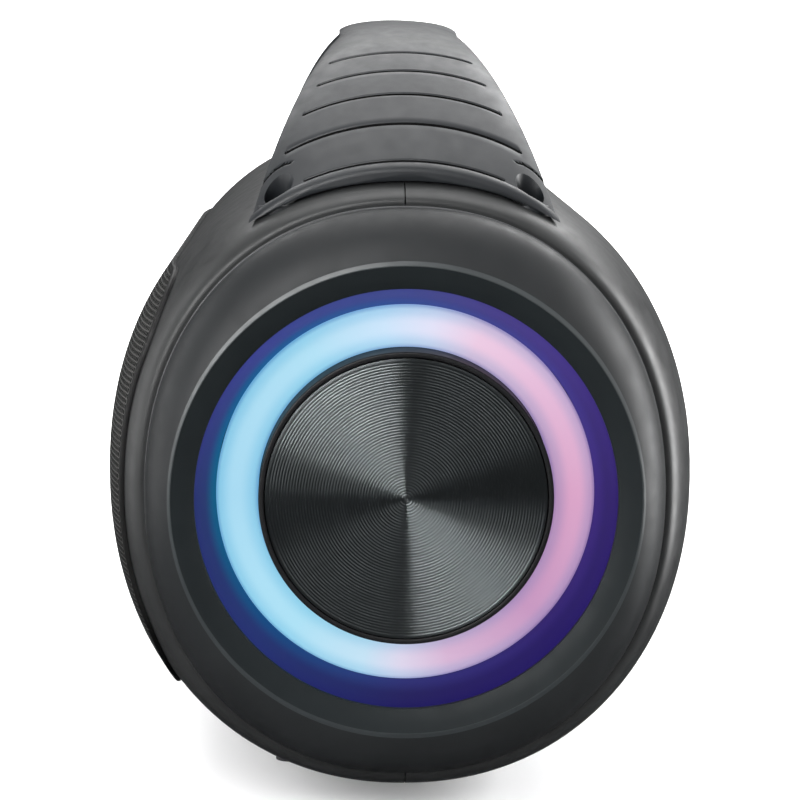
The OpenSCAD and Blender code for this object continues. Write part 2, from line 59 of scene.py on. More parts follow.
SHOULDER = 0.075
SECTION_POWER = 2.14
WALL = 0.003
SEAM = 0.0002
GROOVE_X = SHELL_END + 0.0022
RIM_RADIUS = 0.078
MOUTH_RADIUS = 0.0699
LIP_X = CAP_RIM - 0.003
GLOW_FRONT = LIP_X - 0.0025
LIGHT_X = GROOVE_X + 0.001
GLOW_INNER = 0.0634
LIGHT_INNER = 0.0492
LIGHT_OUTER = 0.0632
GLOW_OUTER = 0.0719
SLEEVE_INNER = 0.072
SLEEVE_OUTER = 0.075
SLEEVE_BACK = GROOVE_X - 0.013
DISH_RADIUS = 0.0745
# Out to this radius the dish is coloured darker: painted shade
DISH_PAINT_RADIUS = 0.0776
DISC_RADIUS = 0.0467
DISC_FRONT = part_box("radiator_disc_right")[1].x

# Handle
handle_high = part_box("handle")[1]
GRIP_TOP = handle_high.z
HANDLE_END = handle_high.x
HANDLE_END_HALF_WIDTH = 0.0525
TAPER_START = 0.085
GRIP_HALF_LENGTH = 0.058
GRIP_HALF_WIDTH = 0.0215
ARC_RADIUS = 0.190
CROWN_RADIUS = 0.088
GRIP_BOTTOM = GRIP_TOP - 0.015
SCREW_X = HANDLE_END - 0.0075
SCREW_Y = 0.0423
SCREW_FLOOR = AXIS_Z + 0.0905
SCREW_HOLE = 0.0022
HANDLE_SCREWS = tuple((x, y) for x in (-SCREW_X, SCREW_X) for y in (-SCREW_Y, SCREW_Y))


# ---- formulas of the form

def full_turn(count):
    """Angles of a whole turn, in radians."""
    return np.arange(count) * 2 * math.pi / count


def swell(depth):
    depth = np.clip(depth, 0, SHOULDER)
    return np.sqrt(1 - (1 - depth / SHOULDER) ** 2)


def half_depth(x):
    return GROOVE_HALF_DEPTH + (HALF_DEPTH - GROOVE_HALF_DEPTH) * swell(SHELL_END - abs(x))


def half_height(x):
    return GROOVE_HALF_HEIGHT + (HALF_HEIGHT - GROOVE_HALF_HEIGHT) * swell(SHELL_END - abs(x))


def section(a, b, power, angles):
    """Points (y, z - axis) of a superellipse at the given angles, in radians; angle 0 is the front."""
    c, s = np.cos(angles), np.sin(angles)
    return (-a * np.sign(c) * np.abs(c) ** (2 / power), b * np.sign(s) * np.abs(s) ** (2 / power))


def section_ring(x, a, b, power, angles):
    """The same points as (x, y, z), across the barrel at x."""
    y, z = section(a, b, power, angles)
    return [(x, yy, AXIS_Z + zz) for yy, zz in zip(y, z)]


def circle(x, y, z, radius, count):
    """Points of a level circle."""
    return [(x + radius * math.cos(t), y + radius * math.sin(t), z) for t in full_turn(count)]


def stations(end, shoulder_steps=30, middle_steps=14):
    near = [SHOULDER * (i / shoulder_steps) ** 2 for i in range(shoulder_steps + 1)]
    xs = [-end + d for d in near]
    middle = end - SHOULDER
    xs += [middle * (2 * i / middle_steps - 1) for i in range(1, middle_steps)]
    return xs + [end - d for d in reversed(near)]


def arc_drop(x):
    run = np.maximum(0, np.abs(x) - GRIP_HALF_LENGTH)
    return ARC_RADIUS - np.sqrt(ARC_RADIUS ** 2 - run * run)


def handle_half_width(x):
    run = max(0.0, abs(x) - TAPER_START) / (HANDLE_END - TAPER_START)
    return GRIP_HALF_WIDTH + (HANDLE_END_HALF_WIDTH - GRIP_HALF_WIDTH) * run ** 1.1


def crown_drop(y):
    return CROWN_RADIUS - np.sqrt(CROWN_RADIUS ** 2 - y * y)


# ---- mesh helpers

def in_scene(name, data):
    ob = bpy.data.objects.new(name, data)
    bpy.context.scene.collection.objects.link(ob)
    return ob


def new_object(name, vertices, faces, smooth_angle=35):
    mesh = bpy.data.meshes.new(name)
    mesh.from_pydata([tuple(v) for v in vertices], [], [tuple(f) for f in faces])
    mesh.update()
    ob = in_scene(name, mesh)
    shade(ob, smooth_angle)
    return ob


def shade(ob, angle=35):
    """Smooth shading, with edges sharper than the angle kept crisp."""
    bm = bmesh.new()
    bm.from_mesh(ob.data)
    bmesh.ops.recalc_face_normals(bm, faces=bm.faces)
    limit = math.radians(angle)
    for face in bm.faces:
        face.smooth = True
    for edge in bm.edges:
        edge.smooth = len(edge.link_faces) != 2 or edge.calc_face_angle(0) < limit
    bm.to_mesh(ob.data)
    bm.free()
    ob.data.update()


def loft(name, rings, closed_ends=True, joined=False, smooth_angle=35):
    """A skin through rings of equal length; joined also runs from the last ring back to the first."""
    count = len(rings[0])
    vertices = [p for ring in rings for p in ring]
    faces = []
    spans = len(rings) if joined else len(rings) - 1
    for k in range(spans):
        a, b = k * count, ((k + 1) % len(rings)) * count
        for i in range(count):
            j = (i + 1) % count
            faces.append((a + i, a + j, b + j, b + i))
    if closed_ends and not joined:
        faces.append(tuple(reversed(range(count))))
        faces.append(tuple(range((len(rings) - 1) * count, len(rings) * count)))
    return new_object(name, vertices, faces, smooth_angle)


def turned(name, profile, side, sides, joined=True, smooth_angle=35):
    """Turns (radius, x) points about the barrel's axis; side -1 mirrors it to the left end."""
    rings = [[(side * x, radius * math.cos(t), AXIS_Z + radius * math.sin(t)) for t in full_turn(sides)]
             for radius, x in profile]
    return loft(name, rings, joined=joined, smooth_angle=smooth_angle)


def arc(cx, cy, radius, start, end, steps):
    """Points on an arc, angles in degrees."""
    out = []
    for i in range(steps + 1):
        t = math.radians(start + (end - start) * i / steps)
        out.append((cx + radius * math.cos(t), cy + radius * math.sin(t)))
    return out


def rounded_outline(half_u, half_v, radius, steps=8):
    points = []
    for cu, cv, start in ((1, 1, 0), (-1, 1, 90), (-1, -1, 180), (1, -1, 270)):
        points += arc(cu * (half_u - radius), cv * (half_v - radius), radius, start, start + 90, steps)
    return points


def slab(name, outline, low, high, place, bevel=0.0, steps=3):
    """An outline in (u, v) made solid from low to high, its top edge rounded; place maps (u, v, w)."""
    rings = [[place(u, v, low) for u, v in outline]]
    if bevel:
        for i in range(steps + 1):
            t = math.pi / 2 * i / steps
            inset, w = bevel * (1 - math.cos(t)), high - bevel * (1 - math.sin(t))
            rings.append([place(u, v, w) for u, v in inset_outline(outline, inset)])
    else:
        rings.append([place(u, v, high) for u, v in outline])
    return loft(name, rings)


def inset_outline(outline, inset):
    """Moves each point of a convex outline inwards, along the mean of its two edges' normals."""
    count = len(outline)
    out = []
    for i in range(count):
        ax, ay = outline[i - 1]
        bx, by = outline[(i + 1) % count]
        length = math.hypot(bx - ax, by - ay)
        out.append((outline[i][0] - inset * (by - ay) / length, outline[i][1] + inset * (bx - ax) / length))
    return out


def cylinder(name, place, radius, low, high, sides=48):
    outline = arc(0, 0, radius, 0, 360 - 360 / sides, sides - 1)
    return slab(name, outline, low, high, place)


def cut(ob, *tools):
    """Takes the tools' forms out of ob, exactly, and removes the tools."""
    for tool in tools:
        modifier = ob.modifiers.new("cut", "BOOLEAN")
        modifier.solver = "EXACT"
        modifier.operation = "DIFFERENCE"
        modifier.object = tool
    apply_modifiers(ob)
    for tool in tools:
        bpy.data.objects.remove(tool)


def apply_modifiers(ob):
    bpy.context.view_layer.update()
    graph = bpy.context.evaluated_depsgraph_get()
    mesh = bpy.data.meshes.new_from_object(ob.evaluated_get(graph))
    ob.modifiers.clear()
    old = ob.data
    ob.data = mesh
    bpy.data.meshes.remove(old)


def round_edges(ob, width, segments, angle):
    """Rounds the edges that turn by more than the angle."""
    modifier = ob.modifiers.new("round", "BEVEL")
    modifier.width = width
    modifier.segments = segments
    modifier.limit_method = "ANGLE"
    modifier.angle_limit = math.radians(angle)
    apply_modifiers(ob)


def join(name, objects):
    """One object made of several, keeping each one's materials."""
    bpy.ops.object.select_all(action="DESELECT")
    for ob in objects:
        ob.select_set(True)
    bpy.context.view_layer.objects.active = objects[0]
    bpy.ops.object.join()
    objects[0].name = name
    return objects[0]


def paint(ob, material):
    ob.data.materials.clear()
    ob.data.materials.append(material)
    for polygon in ob.data.polygons:
        polygon.material_index = 0
    return ob


def stand_for(ob, node, body="enclosure", *, slot):
    """The piece takes the place of a CAD node and moves with its body."""
    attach(ob, body)
    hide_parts(node)


def softened(node, width, segments=2):
    """A copy of a CAD node's form, edges rounded."""
    bm = bmesh.new()
    bm.from_mesh(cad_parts[node].data)
    bmesh.ops.remove_doubles(bm, verts=bm.verts, dist=2e-6)
    bmesh.ops.dissolve_limit(bm, angle_limit=math.radians(0.5), verts=bm.verts, edges=bm.edges)
    mesh = bpy.data.meshes.new(node + "_form")
    bm.to_mesh(mesh)
    bm.free()
    ob = in_scene(node + "_form", mesh)
    round_edges(ob, width, segments, 30)
    shade(ob, 40)
    return ob


# ---- materials

class Nodes:
    """A small writer of node trees."""

    def __init__(self, name, **settings):
        self.material = bpy.data.materials.new(name)
        self.material.use_nodes = True
        self.tree = self.material.node_tree
        self.tree.nodes.clear()
        self.output = self.tree.nodes.new("ShaderNodeOutputMaterial")
        self.shader = self.tree.nodes.new("ShaderNodeBsdfPrincipled")
        self.link(self.shader.outputs[0], self.output.inputs["Surface"])
        for key, value in settings.items():
            self.shader.inputs[key.replace("_", " ")].default_value = value
        self.place = self.node("ShaderNodeTexCoord").outputs["Object"]

    def node(self, kind, **inputs):
        made = self.tree.nodes.new(kind)
        for key, value in inputs.items():
            made.inputs[key].default_value = value
        return made

    def link(self, a, b):
        self.tree.links.new(a, b)

    def math(self, operation, a, b=None):
        made = self.tree.nodes.new("ShaderNodeMath")
        made.operation = operation
        for socket, value in zip(made.inputs, (a, b)):
            if isinstance(value, (int, float)):
                socket.default_value = value
            elif value is not None:
                self.link(value, socket)
        return made.outputs[0]

    def noise(self, scale, detail=3, roughness=0.5):
        made = self.node("ShaderNodeTexNoise", Scale=scale, Detail=detail, Roughness=roughness)
        self.link(self.place, made.inputs["Vector"])
        return made.outputs["Fac"]

    def ramp(self, value, stops, mode="LINEAR"):
        made = self.node("ShaderNodeValToRGB")
        made.color_ramp.interpolation = mode
        elements = made.color_ramp.elements
        while len(elements) < len(stops):
            elements.new(0.5)
        for element, (position, colour) in zip(elements, stops):
            element.position = position
            element.color = (*colour, 1) if len(colour) == 3 else colour
        self.link(value, made.inputs["Fac"])
        return made.outputs["Color"]

    def bump(self, height, strength, distance):
        made = self.node("ShaderNodeBump", Strength=strength, Distance=distance)
        self.link(height, made.inputs["Height"])
        self.link(made.outputs["Normal"], self.shader.inputs["Normal"])

    def tone(self, colour, spread, scale):
        """Base colour that drifts a little lighter and darker over the surface."""
        low = tuple(c * (1 - spread) for c in colour)
        high = tuple(c * (1 + spread) for c in colour)
        value = self.noise(scale, 4)
        self.link(self.ramp(value, [(0.3, low), (0.7, high)]), self.shader.inputs["Base Color"])

    def gloss(self, low, high, scale):
        """Roughness that drifts between two values."""
        value = self.noise(scale, 4)
        colours = [(0.3, (low,) * 3), (0.7, (high,) * 3)]
        self.link(self.ramp(value, colours), self.shader.inputs["Roughness"])

    def around(self):
        """0 to 1 once round the axis (rear, top, front, bottom), the split place and its height."""
        split = self.node("ShaderNodeSeparateXYZ")
        self.link(self.place, split.inputs[0])
        height = self.math("SUBTRACT", split.outputs["Z"], AXIS_Z)
        turn = self.math("ARCTAN2", height, split.outputs["Y"])
        share = self.math("ADD", self.math("DIVIDE", turn, 2 * math.pi), 1.0)
        return self.math("FRACT", share), split, height

    def from_axis(self, split, height):
        squares = self.math("ADD", self.math("MULTIPLY", split.outputs["Y"], split.outputs["Y"]),
                            self.math("MULTIPLY", height, height))
        return self.math("SQRT", squares)


def plastic(name, colour, roughness, grain=0.35, **settings):
    """Moulded plastic with a fine spark-eroded grain."""
    grain_size = 0.00045
    n = Nodes(name, Roughness=roughness, **settings)
    n.tone(colour, 0.08, 45)
    n.gloss(roughness - 0.05, roughness + 0.06, 160)
    n.bump(n.noise(1 / grain_size, 2, 0.6), grain, 0.00004)
    return n.material


def rubber(name, colour, roughness=0.7):
    n = Nodes(name, Roughness=roughness)
    n.shader.inputs["Specular IOR Level"].default_value = 0.35
    n.tone(colour, 0.12, 120)
    n.gloss(roughness - 0.08, roughness + 0.08, 300)
    n.bump(n.noise(2600, 3, 0.65), 0.4, 0.00005)
    return n.material


def metal(name, colour, roughness, scratches=0.25, scale=900):
    n = Nodes(name, Metallic=1.0, Roughness=roughness)
    n.tone(colour, 0.08, 60)
    n.gloss(max(0.05, roughness - 0.08), roughness + 0.1, 220)
    n.bump(n.noise(scale, 4, 0.6), scratches, 0.00002)
    return n.material


def speckled(name, colour, second, scale, roughness=0.55, bump=0.3):
    """Two colours mixed by a coarse noise, for boards and cells."""
    n = Nodes(name, Roughness=roughness)
    value = n.noise(scale, 5, 0.6)
    n.link(n.ramp(value, [(0.42, colour), (0.58, second)]), n.shader.inputs["Base Color"])
    n.gloss(roughness - 0.08, roughness + 0.08, scale)
    n.bump(value, bump, 0.00008)
    return n.material


def wood_board(name):
    n = Nodes(name, Roughness=0.75)
    wave = n.node("ShaderNodeTexWave", Scale=60.0, Distortion=6.0, Detail=3.0)
    n.link(n.place, wave.inputs["Vector"])
    grain = n.ramp(wave.outputs["Fac"], [(0, (0.16, 0.10, 0.055)), (1, (0.24, 0.16, 0.09))])
    n.link(grain, n.shader.inputs["Base Color"])
    n.bump(n.noise(900), 0.3, 0.0001)
    return n.material


def cone_paper(name):
    n = Nodes(name, Roughness=0.8)
    n.tone((0.02, 0.02, 0.022), 0.3, 500)
    n.bump(n.noise(1500, 5, 0.7), 0.6, 0.0001)
    return n.material


def spun_metal(name):
    """Black anodised metal, turned on a lathe."""
    n = Nodes(name, Metallic=1.0, Roughness=0.275, Anisotropic=0.95, Anisotropic_Rotation=0.25)
    n.tone((0.185, 0.203, 0.208), 0.06, 90)
    tangent = n.node("ShaderNodeTangent")
    tangent.direction_type = "RADIAL"
    tangent.axis = "X"
    n.link(tangent.outputs[0], n.shader.inputs["Tangent"])
    split, height = n.around()[1:]
    radius = n.from_axis(split, height)
    rings = n.math("SINE", n.math("MULTIPLY", radius, 2 * math.pi / 0.0004))
    n.bump(rings, 0.15, 0.00001)
    return n.material


def tint(code):
    """Linear colour of a hexadecimal display colour."""
    parts = [int(code[i:i + 2], 16) / 255 for i in (0, 2, 4)]
    return tuple(c / 12.92 if c <= 0.04045 else ((c + 0.055) / 1.055) ** 2.4 for c in parts)


# Colours once round the axis: the rear is 0, the top 0.25, the front 0.5 and the bottom 0.75
RING_COLOURS = ((0.00, "d998c2"), (0.10, "e0acd0"), (0.18, "e8c0dc"), (0.225, "dcdcf4"), (0.27, "c4e2fa"),
                (0.34, "a8e0f6"), (0.50, "98d6f0"), (0.64, "9cdcf2"), (0.71, "bce0f4"), (0.745, "dcd4ec"),
                (0.79, "d8b0d4"), (0.88, "c890c0"), (1.00, "d998c2"))
# Painted light: the tunnel wall's glow colours beside the light ring and at the mouth
WALL_BESIDE_LIGHT = ((0.00, "4c3490"), (0.12, "4c48a8"), (0.25, "3454b0"), (0.375, "0a70b4"),
                     (0.50, "0078a0"), (0.62, "14609c"), (0.75, "3a3c80"), (0.88, "42307c"),
                     (1.00, "4c3490"))
WALL_AT_MOUTH = ((0.00, "30205f"), (0.12, "443494"), (0.25, "3c409c"), (0.375, "443ca4"), (0.50, "2c3478"),
                 (0.62, "2a3a80"), (0.75, "201c50"), (0.88, "241850"), (1.00, "30205f"))


def colour_stops(table):
    return [(position, tint(code)) for position, code in table]


def mixed(n, blend, factor, a, b):
    """Mix of two colours; factor is a number or an output."""
    mix = n.node("ShaderNodeMix")
    mix.data_type = "RGBA"
    mix.blend_type = blend
    if isinstance(factor, float):
        mix.inputs["Factor"].default_value = factor
    else:
        n.link(factor, mix.inputs["Factor"])
    n.link(a, mix.inputs["A"])
    n.link(b, mix.inputs["B"])
    return mix.outputs["Result"]


def light_diffuser(name):
    """Frosted plastic lit from behind: cyan at the front, pink at the rear, pale where they meet."""
    n = Nodes(name, Roughness=0.4, Emission_Strength=0.87)
    turn, split, height = n.around()
    colour = n.ramp(turn, colour_stops(RING_COLOURS))
    radius = n.from_axis(split, height)
    across = n.math("DIVIDE", n.math("SUBTRACT", radius, LIGHT_INNER), LIGHT_OUTER - LIGHT_INNER)
    edge, side, top = (0.45, 0.62, 0.80), (0.72, 0.90, 0.96), (1.0, 1.0, 1.0)
    stops = [(0.0, edge), (0.12, side), (0.45, top), (0.60, top), (0.90, side), (1.0, edge)]
    shading = n.ramp(across, stops, "EASE")
    n.link(mixed(n, "MULTIPLY", 1.0, colour, shading), n.shader.inputs["Emission Color"])
    n.shader.inputs["Base Color"].default_value = (0.06, 0.06, 0.065, 1)
    n.bump(n.noise(1800), 0.15, 0.00003)
    return n.material


def glow_plastic(name):
    """Tinted wall of the tunnel with painted light: its glow is brightest beside the light ring and dark at
    the mouth, as the ring's light falls off along the wall.
    """
    n = Nodes(name, Roughness=0.35, Emission_Strength=0.46)
    turn, split = n.around()[:2]
    beside = n.ramp(turn, colour_stops(WALL_BESIDE_LIGHT))
    mouth = n.ramp(turn, colour_stops(WALL_AT_MOUTH))
    beyond = n.math("SUBTRACT", n.math("ABSOLUTE", split.outputs["X"]), LIGHT_X)
    depth = n.math("DIVIDE", beyond, GLOW_FRONT - LIGHT_X)
    # painted light: the glow fades from the colours beside the ring to the dark colours at the mouth
    light_falloff = n.ramp(depth, [(0.05, (0.0,) * 3), (0.55, (1.0,) * 3)], "EASE")
    n.link(mixed(n, "MIX", light_falloff, beside, mouth), n.shader.inputs["Emission Color"])
    n.shader.inputs["Base Color"].default_value = (0.003, 0.002, 0.035, 1)
    n.shader.inputs["Specular IOR Level"].default_value = 0.06
    n.bump(n.noise(700), 0.1, 0.00003)
    return n.material


MATERIALS = {
    "shell": plastic("shell_plastic", (0.0112, 0.0118, 0.0120), 0.43, grain=0.5, Specular_IOR_Level=0.25),
    "cap": plastic("cap_plastic", (0.0078, 0.0086, 0.0092), 0.48, grain=0.5, Specular_IOR_Level=0.15),
    # Painted highlight: the crease is coloured lighter than the cap, and is glossier
    "crease_highlight": plastic("cap_edge_plastic", (0.014, 0.017, 0.018), 0.36, grain=0.4, Specular_IOR_Level=0.33),
    # Painted shade: the recessed dish is coloured darker than the cap, and is matte
    "dish_shade": plastic("cap_dish_plastic", (0.0038, 0.0058, 0.0066), 0.55, grain=0.6,
                        Specular_IOR_Level=0.14),
    "handle_plastic": plastic("handle_plastic", (0.0055, 0.0066, 0.008), 0.44, grain=0.4,
                              Specular_IOR_Level=0.28),
    # Painted shade: near-black colour on the floors of the finger grooves, the lip's groove and the arcs
    # round the screw holes
    "handle_groove": plastic("handle_groove_painted_shade", (0.0008, 0.0009, 0.001), 0.6, Specular_IOR_Level=0.04),
    "handle_under": plastic("handle_under_plastic", (0.045, 0.046, 0.049), 0.5),
    "groove": rubber("groove_rubber", (0.030, 0.031, 0.033), 0.6),
    "rubber_black": rubber("rubber_black", (0.013, 0.013, 0.014)),
    "foot_rubber": rubber("foot_rubber", (0.018, 0.018, 0.019), 0.75),
    "cover_rubber": rubber("cover_rubber", (0.028, 0.029, 0.030), 0.6),
    "button_rubber": rubber("button_rubber", (0.050, 0.051, 0.054), 0.6),
    "panel_rubber": rubber("panel_rubber", (0.020, 0.020, 0.022), 0.65),
    "steel": metal("steel", (0.55, 0.55, 0.56), 0.3),
    "screw_black": metal("screw_black", (0.10, 0.10, 0.105), 0.35),
    # the tunnel wall glows with painted light from the ring
    "glow_plastic": glow_plastic("glow_wall"),
    "light_diffuser": light_diffuser("light_diffuser"),
    "board_white": speckled("board_white", (0.62, 0.62, 0.58), (0.70, 0.70, 0.66), 300, 0.45, 0.1),
    "circuit_board": speckled("circuit_board", (0.010, 0.075, 0.035), (0.014, 0.10, 0.045), 700, 0.35, 0.2),
    "black_plastic": plastic("black_plastic", (0.004, 0.004, 0.0045), 0.5, Specular_IOR_Level=0.2),
    "spun_metal": spun_metal("spun_metal"),
    "grille_metal": metal("grille_metal", (0.15, 0.15, 0.145), 0.5, 0.3),
    # Painted shade: the grille's folded rim, coloured near-black and darker than the grille's own metal
    "rim_metal_painted_shade": metal("rim_metal_painted_shade", (0.018, 0.018, 0.018), 0.55, 0.3),
    # Black cloth at the hole floors; on the hole walls the same black is painted shade
    "grille_cloth_and_shade": rubber("grille_cloth_and_shade", (0.002, 0.002, 0.002), 0.95),
    "board_wood": wood_board("board_wood"),
    "dark_metal": metal("dark_metal", (0.12, 0.12, 0.125), 0.45),
    "cone_paper": cone_paper("cone_paper"),
    "heat_sink_metal": metal("heat_sink_metal", (0.70, 0.70, 0.71), 0.35, 0.4, 500),
    "cell_wrap": speckled("cell_wrap", (0.02, 0.09, 0.30), (0.025, 0.11, 0.36), 80, 0.3, 0.05),
    "icon_paint": rubber("icon_paint", (0.55, 0.56, 0.57), 0.5),
}


# ---- shells

def half_shell(name, front):
    """One half of the barrel: an outer and an inner skin joined along the seam and at both ends."""
    steps = 96
    angles = np.linspace(-math.pi / 2, math.pi / 2, steps + 1)
    side = -1 if front else 1
    rings = []
    for x in stations(SHELL_END):
        ring = []
        for off, order in ((0, angles), (-WALL, angles[::-1])):
            y, z = section(half_depth(x) + off, half_height(x) + off, SECTION_POWER, order)
            y = side * np.maximum(np.abs(y), SEAM)
            ring += [(x, yy, AXIS_Z + zz) for yy, zz in zip(y, z)]
        rings.append(ring)
    return loft(name, rings, smooth_angle=30)


def along_y(x, z):
    return lambda u, v, w: (x + u, w, z + v)


def along_z(x, y):
    return lambda u, v, w: (x + u, y + v, w)


def plane_y(u, v, w):
    return (u, w, AXIS_Z + v)


# Openings in the shells: half length, half width and corner radius
PANEL_CUT = (0.06815, 0.01515, 0.0081)
GRILLE_CUT = (0.166, 0.062, 0.020)
PORTS_CUT = (0.046, 0.019, 0.0025)
PORTS_Z = AXIS_Z - 0.006
POCKET_RADIUS = 0.0074
WELL_RADIUS = 0.0042
# Shell screws in the rear: place along the barrel and height above its axis
SHELL_SCREWS = ((0.150, -0.099), (-0.150, -0.099), (0.050, -0.101), (-0.050, -0.101),
                (0.095, 0.101), (-0.095, 0.101))


def make_shells():
    for node, front in (("front_shell", True), ("rear_shell", False)):
        ob = half_shell(node + "_skin", front)
        tools = []
        panel = rounded_outline(*PANEL_CUT)
        tools.append(slab("cut_panel", panel, AXIS_Z + 0.09, AXIS_Z + 0.12, along_z(0, 0)))
        side = -1 if front else 1
        for x in (-SCREW_X, SCREW_X):
            place = along_z(x, side * SCREW_Y)
            tools.append(cylinder("cut_pocket", place, POCKET_RADIUS, AXIS_Z + 0.080, AXIS_Z + 0.13))
        if front:
            opening = rounded_outline(*GRILLE_CUT)
            tools.append(slab("cut_opening", opening, -0.14, -0.06, plane_y))
        else:
            pocket = rounded_outline(*PORTS_CUT, 5)
            tools.append(slab("cut_ports", pocket, 0.08, 0.13, along_y(0, PORTS_Z)))
            for x, dz in SHELL_SCREWS:
                tools.append(cylinder("cut_well", along_y(x, AXIS_Z + dz), WELL_RADIUS, 0.014, 0.12, 32))
        cut(ob, *tools)
        shade(ob, 30)
        paint(ob, MATERIALS["shell"])
        stand_for(ob, node, slot="shell")


def make_end_cap(node, side):
    """Cap from the groove to the round rim, with a rounded crease, a shallow dish and the tunnel's sleeve."""
    count, steps = 256, 26
    angles = full_turn(count)
    lip = 0.0019
    lip_round = 0.0009
    crease = 0.0005
    crease_tilt = math.radians(38)
    end_angle = math.radians(62)
    rings = []

    def ring(a, b, power, x):
        rings.append(section_ring(side * x, a, b, power, angles))

    groove_a, groove_b = GROOVE_HALF_DEPTH, GROOVE_HALF_HEIGHT
    for k in range(4):
        t = math.pi / 2 * k / 3
        inset = lip - lip_round * math.sin(t)
        ring(groove_a - inset, groove_b - inset, SECTION_POWER, GROOVE_X + lip_round * (1 - math.cos(t)))
    crease_x = CAP_RIM - crease * (1 - math.cos(crease_tilt))
    for k in range(1, steps + 1):
        t = end_angle * k / steps
        blend = (1 - math.cos(t)) / (1 - math.cos(end_angle))
        inset = 0.001 * (1 - k / steps)
        a = groove_a + (RIM_RADIUS - groove_a) * blend - inset
        b = groove_b + (RIM_RADIUS - groove_b) * blend - inset
        x = GROOVE_X + (crease_x - GROOVE_X) * math.sin(t) / math.sin(end_angle)
        ring(a, b, SECTION_POWER + (2 - SECTION_POWER) * blend, x)
    crease_centre = RIM_RADIUS - crease * math.sin(crease_tilt)
    crease_start = 90 - math.degrees(crease_tilt)
    for radius, x in arc(crease_centre, CAP_RIM - crease, crease, crease_start, 114, 6)[1:]:
        ring(radius, radius, 2, x)
    dish = [(DISH_RADIUS, CAP_RIM - 0.0011), (MOUTH_RADIUS + 0.0006, LIP_X + 0.0002),
            (MOUTH_RADIUS, LIP_X - 0.0003), (MOUTH_RADIUS, GLOW_FRONT + 0.0001),
            (SLEEVE_INNER, GLOW_FRONT + 0.0001), (SLEEVE_INNER, SLEEVE_BACK),
            (SLEEVE_OUTER, SLEEVE_BACK), (SLEEVE_OUTER, GROOVE_X + 0.0002)]
    for radius, x in dish:
        ring(radius, radius, 2, x)
    ob = loft(node + "_skin", rings, joined=True, smooth_angle=32)
    for key in ("cap", "dish_shade", "crease_highlight"):
        ob.data.materials.append(MATERIALS[key])
    for polygon in ob.data.polygons:
        centre = polygon.center
        radius = math.hypot(centre.y, centre.z - AXIS_Z)
        # the crease faces take the lighter plastic, a painted highlight
        if abs(centre.x) > CAP_RIM - 0.0004 and radius > RIM_RADIUS - 0.0007:
            polygon.material_index = 2
        else:
            # faces inside the dish's radius take the darker plastic, painted shade
            polygon.material_index = int(radius < DISH_PAINT_RADIUS and abs(centre.x) > GROOVE_X)
    stand_for(ob, node, slot="shell")


def make_end_gasket(node, side):
    """Rubber strip with a bevelled edge, in the groove between the shell and the cap."""
    count = 320
    angles = full_turn(count)
    rings = []
    profile = [(-0.0016, SHELL_END + 0.0001), (-0.0010, SHELL_END + 0.0001), (-0.0007, SHELL_END + 0.0004),
               (-0.0007, GROOVE_X - 0.0006), (-0.0016, GROOVE_X - 0.0001)]
    for off, x in profile:
        a, b = GROOVE_HALF_DEPTH + off, GROOVE_HALF_HEIGHT + off
        rings.append(section_ring(side * x, a, b, SECTION_POWER, angles))
    ob = loft(node + "_strip", rings, joined=True, smooth_angle=40)
    paint(ob, MATERIALS["groove"])
    stand_for(ob, node, slot="rubber_black")


# ---- light and radiator

def make_end(name, side):
    make_end_cap("end_cap_" + name, side)
    make_end_gasket("end_gasket_" + name, side)

    glow_back = GROOVE_X - 0.012
    wall = [(GLOW_OUTER, glow_back), (GLOW_OUTER, GLOW_FRONT), (MOUTH_RADIUS, GLOW_FRONT),
            (GLOW_INNER, LIGHT_X), (GLOW_INNER, glow_back)]
    glow = turned("glow_wall_" + name, wall, side, 256)
    paint(glow, MATERIALS["glow_plastic"])
    stand_for(glow, "glow_ring_" + name, slot="glow_plastic")

    middle, half = (LIGHT_INNER + LIGHT_OUTER) / 2, (LIGHT_OUTER - LIGHT_INNER) / 2
    face = [(LIGHT_INNER, GROOVE_X - 0.006), (LIGHT_OUTER, GROOVE_X - 0.006)]
    face += [(middle + half * math.cos(t), LIGHT_X + 0.003 * math.sin(t))
             for t in np.linspace(0, math.pi, 25)]
    ring = turned("light_ring_face_" + name, face, side, 256)
    paint(ring, MATERIALS["light_diffuser"])
    stand_for(ring, "light_ring_" + name, slot="light_diffuser")

    back, flange = GROOVE_X - 0.017, GROOVE_X - 0.015
    inner, outer, front = DISC_RADIUS + 0.0003, 0.0489, DISC_FRONT - 0.0006
    rim_round, flange_front = 0.0007, flange + 0.0028
    body = [(inner, back), (outer, back), (outer, flange), (GLOW_OUTER, flange), (GLOW_OUTER, flange_front),
            (outer, flange_front)]
    body += arc(outer - rim_round, front - rim_round, rim_round, 0, 90, 4)
    body += arc(inner + rim_round, front - rim_round, rim_round, 90, 180, 4)
    frame_ob = turned("radiator_ring_" + name, body, side, 192)
    paint(frame_ob, MATERIALS["black_plastic"])
    stand_for(frame_ob, "radiator_frame_" + name, slot="black_plastic")

    make_disc(name, side)


